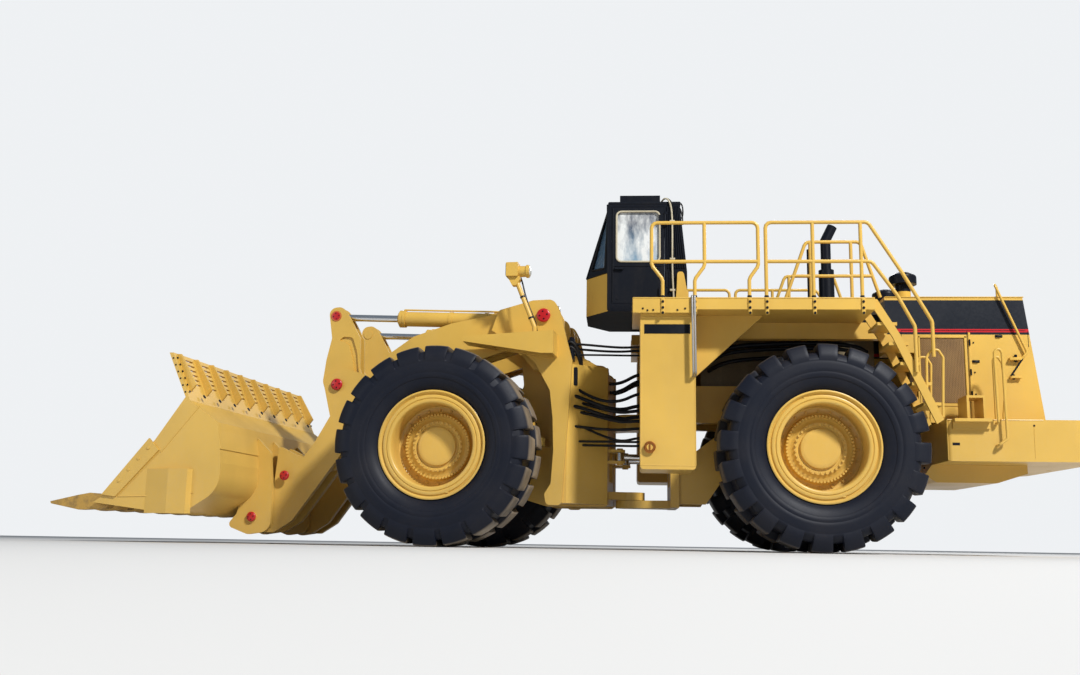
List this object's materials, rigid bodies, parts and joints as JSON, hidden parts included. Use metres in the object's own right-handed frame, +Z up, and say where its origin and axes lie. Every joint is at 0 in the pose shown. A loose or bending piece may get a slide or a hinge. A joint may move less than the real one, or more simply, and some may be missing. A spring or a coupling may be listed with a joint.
{
  "type": "wheel loader",
  "caption": "Large articulated wheel loader with a toothed rock bucket, lift arms with tilt levers, deep lug tyres, a high cab, railed walkways and a rear counterweight.",
  "frame": {"origin": "Bottom centre of the whole machine at rest, at ground level.", "axes": "+X points to the bucket, +Y to the machine's left side, +Z up. The front unit is turned 5.3 degrees to the right at rest."},
  "size_m": [13.968, 5.2286, 5.07],
  "materials": {
    "chrome_rod": "polished",
    "dark_paint": "satin",
    "dark_plastic": "matte",
    "engine_iron": "matte",
    "machine_yellow": "gloss",
    "seat_fabric": "matte",
    "tyre_rubber": "matte",
    "window_glass": "clear",
    "worn_steel": "worn"
  },
  "bodies": {
    "rear_unit": {"rear_frame": "machine_yellow", "counterweight": "machine_yellow", "belly_guard": "machine_yellow", "hood": "machine_yellow", "radiator_grille": "dark_paint", "engine_block": "engine_iron", "engine_cover": "dark_paint", "decks": "dark_paint", "tanks": "machine_yellow", "handrails": "machine_yellow", "stairs": "machine_yellow", "exhaust": "dark_paint", "air_cleaner": "dark_paint", "cab_shell": "machine_yellow", "cab_mount": "machine_yellow", "cab_glass": "window_glass", "cab_roof_unit": "machine_yellow", "seat": "seat_fabric", "console": "dark_plastic", "rear_axle": "machine_yellow"},
    "front_unit": {"front_frame": "machine_yellow", "front_fenders": "machine_yellow", "lamp_masts": "machine_yellow", "front_axle": "machine_yellow"},
    "cab_door": {"cab_door": "dark_paint", "door_glass": "window_glass"},
    "lift_arms": {"lift_arms": "machine_yellow"},
    "bucket": {"bucket": "machine_yellow", "bucket_teeth": "worn_steel", "spill_guard": "machine_yellow"},
    "tilt_levers": {"tilt_levers": "machine_yellow"},
    "tilt_links": {"tilt_links": "machine_yellow"},
    "tilt_barrels": {"tilt_barrels": "machine_yellow"},
    "tilt_rods": {"tilt_rods": "chrome_rod"},
    "lift_barrels": {"lift_barrels": "machine_yellow"},
    "lift_rods": {"lift_rods": "chrome_rod"},
    "steer_barrel_left": {"steer_barrel_left": "machine_yellow"},
    "steer_rod_left": {"steer_rod_left": "chrome_rod"},
    "steer_barrel_right": {"steer_barrel_right": "machine_yellow"},
    "steer_rod_right": {"steer_rod_right": "chrome_rod"},
    "wheel_front_left": {"tyre_front_left": "tyre_rubber", "rim_front_left": "machine_yellow"},
    "wheel_front_right": {"tyre_front_right": "tyre_rubber", "rim_front_right": "machine_yellow"},
    "wheel_rear_left": {"tyre_rear_left": "tyre_rubber", "rim_rear_left": "machine_yellow"},
    "wheel_rear_right": {"tyre_rear_right": "tyre_rubber", "rim_rear_right": "machine_yellow"}
  },
  "joints": [
    {"name": "steering", "type": "hinge", "parent": "rear_unit", "child": "front_unit", "pos_m": [-0.92401, 0.39556, 0.7], "axis": [0, 0, 1], "range_deg": [-29.7, 40.3]},
    {"name": "lift", "type": "hinge", "parent": "front_unit", "child": "lift_arms", "pos_m": [0.20116, 0.29118, 3.24], "axis": [-0.0924, -0.9957, 0], "range_deg": [0, 74]},
    {"name": "bucket_tilt", "type": "hinge", "parent": "lift_arms", "child": "bucket", "pos_m": [4.37325, -0.09585, 0.38], "axis": [0.0924, 0.9957, 0], "range_deg": [-14, 118]},
    {"name": "lever_swing", "type": "hinge", "parent": "lift_arms", "child": "tilt_levers", "pos_m": [3.22816, 0.01037, 2.29], "axis": [-0.0924, -0.9957, 0], "range_deg": [-8.47, 69.87]},
    {"name": "link_swing", "type": "hinge", "parent": "bucket", "child": "tilt_links", "pos_m": [3.92517, -0.05429, 0.97], "axis": [0.0924, 0.9957, 0], "range_deg": [-109.8, 13.2]},
    {"name": "tilt_barrel_swing", "type": "hinge", "parent": "front_unit", "child": "tilt_barrels", "pos_m": [0.64924, 0.24961, 3.23], "axis": [-0.0924, -0.9957, 0], "range_deg": [-0.2, 70.63]},
    {"name": "tilt_rod_slide", "type": "slide", "parent": "tilt_barrels", "child": "tilt_rods", "axis": [0.995, -0.0923, 0.037], "range_m": [-0.7147, 0.0866]},
    {"name": "lift_barrel_swing", "type": "hinge", "parent": "front_unit", "child": "lift_barrels", "pos_m": [0.48992, 0.26439, 1.7], "axis": [-0.0924, -0.9957, 0], "range_deg": [-0.2, 53.3]},
    {"name": "lift_rod_slide", "type": "slide", "parent": "lift_barrels", "child": "lift_rods", "axis": [0.9557, -0.0887, 0.2808], "range_m": [-0.002, 1.6251]},
    {"name": "steer_barrel_swing_left", "type": "hinge", "parent": "rear_unit", "child": "steer_barrel_left", "pos_m": [-2.07401, 0.72556, 1.3], "axis": [0, 0, 1], "range_deg": [-2.61, 3.47]},
    {"name": "steer_rod_slide_left", "type": "slide", "parent": "steer_barrel_left", "child": "steer_rod_left", "axis": [0.9977, 0.0676, 0], "range_m": [-0.2881, 0.2129]},
    {"name": "steer_barrel_swing_right", "type": "hinge", "parent": "rear_unit", "child": "steer_barrel_right", "pos_m": [-2.07401, 0.06556, 1.3], "axis": [0, 0, 1], "range_deg": [-3.32, 4.43]},
    {"name": "steer_rod_slide_right", "type": "slide", "parent": "steer_barrel_right", "child": "steer_rod_right", "axis": [0.9961, -0.0885, 0], "range_m": [-0.2075, 0.2809]},
    {"name": "door_swing", "type": "hinge", "parent": "rear_unit", "child": "cab_door", "pos_m": [-1.40601, 1.43056, 4.1], "axis": [0, 0, 1], "range_deg": [0, 90]},
    {"name": "wheel_spin_front_left", "type": "hinge", "parent": "front_unit", "child": "wheel_front_left", "pos_m": [1.65797, 1.81312, 1.33], "axis": [0.0924, 0.9957, 0], "continuous": true},
    {"name": "wheel_spin_front_right", "type": "hinge", "parent": "front_unit", "child": "wheel_front_right", "pos_m": [1.35315, -1.47277, 1.33], "axis": [0.0924, 0.9957, 0], "continuous": true},
    {"name": "wheel_spin_rear_left", "type": "hinge", "parent": "rear_unit", "child": "wheel_rear_left", "pos_m": [-3.36401, 2.04556, 1.33], "axis": [0, 1, 0], "continuous": true},
    {"name": "wheel_spin_rear_right", "type": "hinge", "parent": "rear_unit", "child": "wheel_rear_right", "pos_m": [-3.36401, -1.25444, 1.33], "axis": [0, 1, 0], "continuous": true}
  ],
  "couplings": [
    {"joint": "lever_swing", "follows": "bucket_tilt", "ratio": 0.59045},
    {"joint": "link_swing", "follows": "bucket_tilt", "ratio": -0.92881},
    {"joint": "tilt_barrel_swing", "follows": "lift", "ratio": 0.95177},
    {"joint": "tilt_rod_slide", "follows": "bucket_tilt", "m_per_rad": -0.34604},
    {"joint": "lift_barrel_swing", "follows": "lift", "ratio": 0.71758},
    {"joint": "lift_rod_slide", "follows": "lift", "m_per_rad": 1.2567},
    {"joint": "steer_barrel_swing_left", "follows": "steering", "ratio": 0.081205},
    {"joint": "steer_rod_slide_left", "follows": "steering", "m_per_rad": -0.40677},
    {"joint": "steer_barrel_swing_right", "follows": "steering", "ratio": 0.10495},
    {"joint": "steer_rod_slide_right", "follows": "steering", "m_per_rad": 0.39649}
  ]
}
